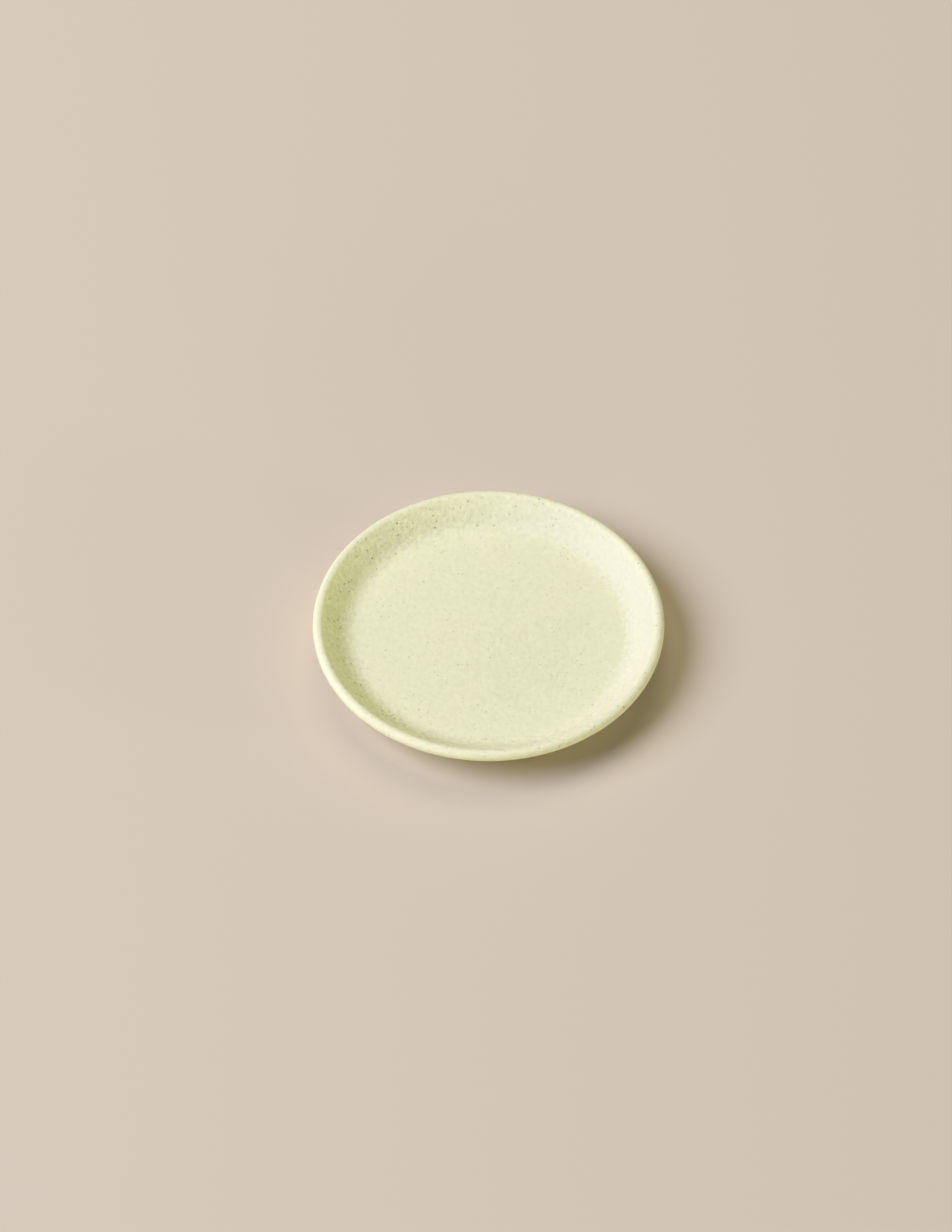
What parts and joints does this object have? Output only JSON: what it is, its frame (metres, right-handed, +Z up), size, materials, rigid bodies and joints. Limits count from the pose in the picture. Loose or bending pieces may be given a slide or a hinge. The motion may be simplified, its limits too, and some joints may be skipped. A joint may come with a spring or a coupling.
{
  "type": "notions dish",
  "caption": "Round shallow glazed stoneware dish with a flat floor, flared wall, rounded lip and bare foot ring, for holding pins, buttons and other small sewing notions.",
  "frame": {"origin": "centre of the foot ring's resting face, on the surface that the dish stands on", "axes": "+Z up along the axis that the dish was turned on, out of the well; X and Y are any two directions across it, because the dish is round"},
  "size_m": [0.11, 0.11, 0.0145],
  "materials": {
    "bare_stoneware": "unglazed, wiped, slightly gritty",
    "pale_green_glaze": "satin matt, fine dark iron specks"
  },
  "bodies": {
    "root": {"clay_body": "bare_stoneware", "glaze_coat": "pale_green_glaze", "foot_recess_glaze": "pale_green_glaze"}
  },
  "joints": []
}
